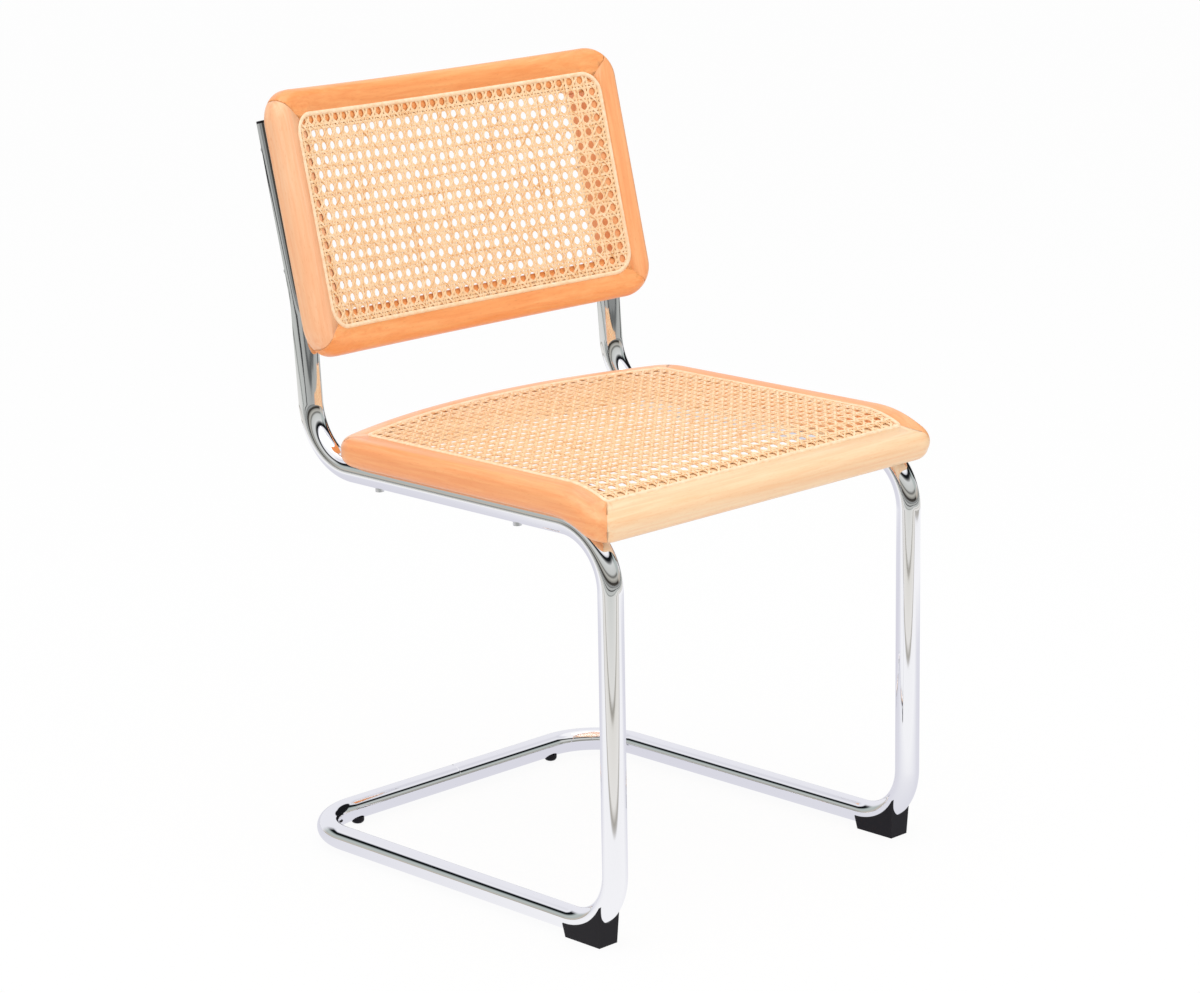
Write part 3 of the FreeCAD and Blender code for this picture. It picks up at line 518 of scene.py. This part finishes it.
# Reed spline: a peeled round reed pressed into the groove over the cane's edge.
reed, surface = newMaterial("peeledReed", Roughness=0.42, Coat_Weight=0.1, Coat_Roughness=0.3)
coords = addNode(reed, "ShaderNodeTexCoord")
fibre = addNode(reed, "ShaderNodeTexNoise", {"Scale": 160.0, "Detail": 3.0},
                {"Vector": coords.outputs["Object"]})
ramp = addNode(reed, "ShaderNodeValToRGB", links={"Fac": fibre.outputs["Fac"]})
fillRamp(ramp, ((0.3, "#FAD3A8"), (0.65, "#FFE6C4")))
wire(reed, ramp.outputs["Color"], surface, "Base Color")
reedSize = {
    "radius": 0.0027,
    "sink": 0.0014,         # how deep its middle lies below the face
    "around": 4,
    "cornerStep": 0.0015,
    "straightStep": 0.006,
    "bowSteps": 60,         # for the seat's long rear arc
    "crisp": 60,
}


def layReed(name, outline, place, node):
    # outline is a list of corners: x, along, corner radius; it is walked as one closed line
    points = []
    count = len(outline)
    for i, (x, y, radius) in enumerate(outline):
        here = Vector((x, y))
        before = (Vector(outline[i - 1][:2]) - here).normalized()
        after = (Vector(outline[(i + 1) % count][:2]) - here).normalized()
        half = before.angle(after) / 2
        centre = here + (before + after).normalized() * (radius / math.sin(half))
        start = here + before * (radius / math.tan(half)) - centre
        end = here + after * (radius / math.tan(half)) - centre
        sweep = start.angle_signed(end)
        steps = max(3, round(abs(sweep) * radius / reedSize["cornerStep"]))
        if radius == rearBow:
            steps = reedSize["bowSteps"]
        for step in range(steps + 1):
            points.append(centre + Matrix.Rotation(-sweep * step / steps, 2) @ start)
    walked = []
    for i, point in enumerate(points):
        following = points[(i + 1) % len(points)]
        walked.append(point)
        between = int((following - point).length / reedSize["straightStep"])
        for step in range(1, between + 1):
            walked.append(point.lerp(following, step / (between + 1)))
    curve = bpy.data.curves.new(name, "CURVE")
    curve.dimensions = "3D"
    line = curve.splines.new("POLY")
    line.points.add(len(walked) - 1)
    for spot, point in zip(line.points, walked):
        spot.co = (*place(point.x, point.y, -reedSize["sink"]), 1)
    line.use_cyclic_u = True
    curve.bevel_depth = reedSize["radius"]
    curve.bevel_resolution = reedSize["around"]
    holder = bpy.data.objects.new(name, curve)
    bpy.context.scene.collection.objects.link(holder)
    pick(holder)
    bpy.ops.object.convert(target="MESH")
    piece = bpy.context.object
    mount(piece, name, reed, "spline", node)
    smoothShade(piece, reedSize["crisp"])


seatSide, seatFront = 0.2105, -0.0541       # places of the reeds' middle lines, from the panels' middles
frontCorner, rearCorner = 0.0039, 0.0099    # and the radii of their corners
backSide, backEnd, backCorner = 0.2130, 0.10825, 0.0219
rearPeak = rearApex + rearBow * (1 / math.cos(seatRear["cornerTurn"]) - 1)
rearSide = rearPeak - seatSide * math.tan(seatRear["cornerTurn"])
layReed("seatReedSpline", [
    (-seatSide, seatFront, frontCorner), (seatSide, seatFront, frontCorner),
    (seatSide, rearSide, rearCorner), (0, rearPeak, rearBow), (-seatSide, rearSide, rearCorner),
], seatPoint, "seat_spline")
layReed("backReedSpline", [
    (-backSide, -backEnd, backCorner), (backSide, -backEnd, backCorner),
    (backSide, backEnd, backCorner), (-backSide, backEnd, backCorner),
], backPoint, "back_spline")
print("reed splines")


# Moulded black polypropylene: a fine spark-eroded grain that dulls its gloss.
plastic, surface = newMaterial("mouldedBlackPolypropylene", Roughness=0.5, Specular_IOR_Level=0.2)
coords = addNode(plastic, "ShaderNodeTexCoord")
grit = addNode(plastic, "ShaderNodeTexNoise", {"Scale": 1400.0, "Detail": 2.0},
               {"Vector": coords.outputs["Object"]})
ramp = addNode(plastic, "ShaderNodeValToRGB", links={"Fac": grit.outputs["Fac"]})
fillRamp(ramp, ((0.0, "#0C0A0E"), (1.0, "#1B181F")))
wire(plastic, ramp.outputs["Color"], surface, "Base Color")
bump = addNode(plastic, "ShaderNodeBump", {"Strength": 0.2, "Distance": 0.0002},
               {"Height": grit.outputs["Fac"]})
wire(plastic, bump.outputs["Normal"], surface, "Normal")

# Zinc-plated steel fasteners: greyer and softer than the chrome, with a faint mottle.
steel, surface = newMaterial("zincPlatedSteel", Metallic=1.0, Roughness=0.16)
coords = addNode(steel, "ShaderNodeTexCoord")
mottle = addNode(steel, "ShaderNodeTexNoise", {"Scale": 500.0, "Detail": 3.0},
                 {"Vector": coords.outputs["Object"]})
ramp = addNode(steel, "ShaderNodeValToRGB", links={"Fac": mottle.outputs["Fac"]})
fillRamp(ramp, ((0.0, "#C6C7CB"), (1.0, "#E2E3E7")))
wire(steel, ramp.outputs["Color"], surface, "Base Color")
# the dowels share the front rail's palest tone set, with its painted highlight
dowelWood = beechMaterial("plainBeechDowel", "x", 0.5, creamWithPaintedHighlight)

for name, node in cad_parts.items():
    finish = None
    if "foot" in name or "glide" in name or "cap" in name:
        finish = plastic
    elif "screw" in name or "rivet" in name or "sleeve" in name:
        finish = steel
    elif "dowel" in name:
        finish = dowelWood
    if finish:
        node.data.materials.clear()
        node.data.materials.append(finish)
print("feet and fasteners")


# Studio: white paper that keeps a soft shadow, and a plain bright room. Metal also
# sees the paper's edges, the darker floor beyond and the dark gap under the ceiling.
studio = {
    "paper": "#F6F6F6",
    "camera": 0.92,            # share of plain white that the camera sees in the paper
    "ambient": 0.9,
    "lampPower": 22,
    "sideRoom": 1.0,           # how much further the paper reaches to the sides, in metres
    "rampStart": -0.5,         # from behind the chair to far in front of it, in metres
    "rampReach": 6.2,
    "floorSize": 30,
    "yaw": math.radians(44.52),     # the direction in which the photograph looks
    "flags": (((0.94, 0.22, 0.16), 0.960), ((0.91, 0.02, 0.41), 0.945)),  # direction, cosine of half its width
    "flagSoft": 0.006,
    "lampSize": 2.4,
    "lampPlace": (-0.4, -0.5, 2.6),
    "lampAim": (0, 0, 0.4),
}
forward = Vector((math.sin(studio["yaw"]), math.cos(studio["yaw"]), 0))

clearSelection()
bpy.ops.mesh.primitive_plane_add(size=studio["floorSize"], location=(0, 0, 0))
floor = bpy.context.object
floor.name = "floor"
paper, surface = newMaterial("paleStudioPaper", Base_Color=hexColour(studio["paper"]), Roughness=0.9)
path = addNode(paper, "ShaderNodeLightPath")
coords = addNode(paper, "ShaderNodeTexCoord")
ahead = addNode(paper, "ShaderNodeVectorMath", {1: -forward}, {0: coords.outputs["Object"]},
                operation="DOT_PRODUCT")
away = addNode(paper, "ShaderNodeVectorMath", links={0: coords.outputs["Object"]}, operation="LENGTH")
aside = addNode(paper, "ShaderNodeMath", {1: studio["sideRoom"]}, {0: away.outputs["Value"]},
                operation="SUBTRACT")
further = addNode(paper, "ShaderNodeMath", links={0: ahead.outputs["Value"], 1: aside.outputs["Value"]},
                  operation="MAXIMUM")
start, finish = studio["rampStart"], studio["rampReach"]
reach = addNode(paper, "ShaderNodeMapRange", {"From Min": start, "From Max": finish},
                {"Value": further.outputs["Value"]})
ground = addNode(paper, "ShaderNodeValToRGB", links={"Fac": reach.outputs["Result"]})
# what metal sees of the floor at each distance: white paper, its seams, then the grey floor beyond
fillRamp(ground, [((distance - start) / (finish - start), code) for distance, code in (
    (-0.5, "#DAD9E3"), (0.0, "#E2E2EA"), (0.32, "#FAFAFC"), (0.66, "#F8F8FA"), (0.69, "#8F8A80"),
    (0.75, "#EAE8E4"), (1.04, "#E2E0DA"), (1.09, "#8F8B82"), (1.15, "#E4E3DF"), (1.60, "#D3D5D1"),
    (1.68, "#6F716E"), (1.78, "#C2C5C1"), (2.38, "#BCBEBB"), (2.52, "#3A3B3B"), (2.78, "#343535"),
    (2.95, "#B4B6B3"), (4.60, "#AAACA9"), (4.85, "#626463"), (5.30, "#565858"), (5.50, "#8C8E8C"),
    (6.20, "#8C8E8C"))])
white = addNode(paper, "ShaderNodeEmission", {"Color": (1, 1, 1, 1), "Strength": 1.0})
mirrored = addNode(paper, "ShaderNodeEmission", {"Strength": 1.0}, {"Color": ground.outputs["Color"]})
share = addNode(paper, "ShaderNodeMath", {1: studio["camera"]}, {0: path.outputs["Is Camera Ray"]},
                operation="MULTIPLY")
seen = addNode(paper, "ShaderNodeMixShader",
               links={0: share.outputs["Value"], 1: surface.outputs["BSDF"], 2: white.outputs["Emission"]})
mixed = addNode(paper, "ShaderNodeMixShader",
                links={0: path.outputs["Is Glossy Ray"], 1: seen.outputs["Shader"], 2: mirrored.outputs["Emission"]})
paper.node_tree.links.new(mixed.outputs["Shader"], paper.node_tree.nodes["Material Output"].inputs["Surface"])
floor.data.materials.append(paper)

world = bpy.data.worlds.new("studio")
bpy.context.scene.world = world
world.use_nodes = True
plain = world.node_tree.nodes["Background"]
plain.inputs["Color"].default_value = (1, 1, 1, 1)
plain.inputs["Strength"].default_value = studio["ambient"]
path = addNode(world, "ShaderNodeLightPath")
coords = addNode(world, "ShaderNodeTexCoord")
parts = addNode(world, "ShaderNodeSeparateXYZ", links={0: coords.outputs["Generated"]})
room = addNode(world, "ShaderNodeValToRGB", links={"Fac": parts.outputs["Z"]})
fillRamp(room, ((0.0, "#B5ADA2"), (0.08, "#C6BFB4"), (0.15, "#B3B9B6"), (0.34, "#B9C1BE"), (0.43, "#7F8887"),
                (0.47, "#0E1214"), (0.60, "#121518"), (0.615, "#B9BAC2"), (0.66, "#F4F4F8"), (0.78, "#DCDCE4"),
                (0.84, "#FCFCFF"), (1.0, "#FFFFFF")))
dim = addNode(world, "ShaderNodeValToRGB", links={"Fac": parts.outputs["Z"]})
fillRamp(dim, ((0.0, "#4A4742"), (0.03, "#2A2826"), (0.06, "#8C8A83"), (0.12, "#B9B8B0"), (0.18, "#6B6A66"),
               (0.24, "#C6C8C4"), (0.44, "#D6D8D6"), (0.50, "#6D6E6E"), (0.54, "#15181B"), (0.60, "#15181B"),
               (0.615, "#C9C9CF"), (0.66, "#FAFAFC"), (1.0, "#FFFFFF")))
lens = addNode(world, "ShaderNodeVectorMath", {1: -forward}, {0: coords.outputs["Generated"]},
               operation="DOT_PRODUCT")
nearer = addNode(world, "ShaderNodeMapRange", {"From Min": 0.0, "From Max": 0.15}, {"Value": lens.outputs["Value"]})
walls = addNode(world, "ShaderNodeMix", data_type="RGBA",
                links={0: nearer.outputs["Result"], 6: room.outputs["Color"], 7: dim.outputs["Color"]})
farther = addNode(world, "ShaderNodeMapRange", {"From Min": -0.45, "From Max": -0.65},
                  {"Value": lens.outputs["Value"]})
backed = addNode(world, "ShaderNodeMix", {7: hexColour("#EDEDF3")},
                 {0: farther.outputs["Result"], 6: walls.outputs[2]}, data_type="RGBA")
reflected = addNode(world, "ShaderNodeBackground", {"Strength": 1.0})
for facing, size in studio["flags"]:
    # black flags that stand to the right of the chair
    soft = studio["flagSoft"]
    turned = addNode(world, "ShaderNodeVectorMath", {1: Vector(facing).normalized()},
                     {0: coords.outputs["Generated"]}, operation="DOT_PRODUCT")
    flag = addNode(world, "ShaderNodeMapRange", {"From Min": size - soft, "From Max": size + soft},
                   {"Value": turned.outputs["Value"]})
    backed = addNode(world, "ShaderNodeMix", {7: hexColour("#1A1A1D")},
                     {0: flag.outputs["Result"], 6: backed.outputs[2]}, data_type="RGBA")
world.node_tree.links.new(backed.outputs[2], reflected.inputs["Color"])
white = addNode(world, "ShaderNodeBackground", {"Color": (1, 1, 1, 1), "Strength": 1.0})
first = addNode(world, "ShaderNodeMixShader",
                links={0: path.outputs["Is Glossy Ray"], 1: plain.outputs[0], 2: reflected.outputs[0]})
last = addNode(world, "ShaderNodeMixShader",
               links={0: path.outputs["Is Camera Ray"], 1: first.outputs[0], 2: white.outputs[0]})
world.node_tree.links.new(last.outputs[0], world.node_tree.nodes["World Output"].inputs["Surface"])

lamp = bpy.data.lights.new("overhead", "AREA")
lamp.shape = "RECTANGLE"
lamp.size = studio["lampSize"]
lamp.size_y = studio["lampSize"]
lamp.energy = studio["lampPower"]
holder = bpy.data.objects.new("overhead", lamp)
holder.location = studio["lampPlace"]
holder.rotation_euler = (Vector(studio["lampAim"]) - holder.location).to_track_quat("-Z", "Y").to_euler()
bpy.context.scene.collection.objects.link(holder)

# Camera at the photograph's view.
view = {
    "yaw": studio["yaw"],
    "pitch": math.radians(14.20),
    "roll": math.radians(-0.95),
    "place": (-2.525, -2.803 + shift, 1.2820),
    "sensor": 36,
    "lens": 3624 / 1200 * 36,       # 3624 pixels at the photograph's width of 1200
    "nearest": 0.05,
}
look = Vector((math.sin(view["yaw"]) * math.cos(view["pitch"]),
               math.cos(view["yaw"]) * math.cos(view["pitch"]), -math.sin(view["pitch"])))
level = Vector((math.cos(view["yaw"]), -math.sin(view["yaw"]), 0))
above = level.cross(look)
right = level * math.cos(view["roll"]) + above * math.sin(view["roll"])
top = above * math.cos(view["roll"]) - level * math.sin(view["roll"])
camera = bpy.data.objects.new("camera", bpy.data.cameras.new("camera"))
camera.matrix_world = Matrix.Translation(view["place"]) @ Matrix((right, top, -look)).transposed().to_4x4()
camera.data.sensor_width = view["sensor"]
camera.data.lens = view["lens"]
camera.data.clip_start = view["nearest"]
bpy.context.scene.collection.objects.link(camera)
bpy.context.scene.camera = camera
bpy.context.scene.view_settings.view_transform = "Standard"

print("scene ready")
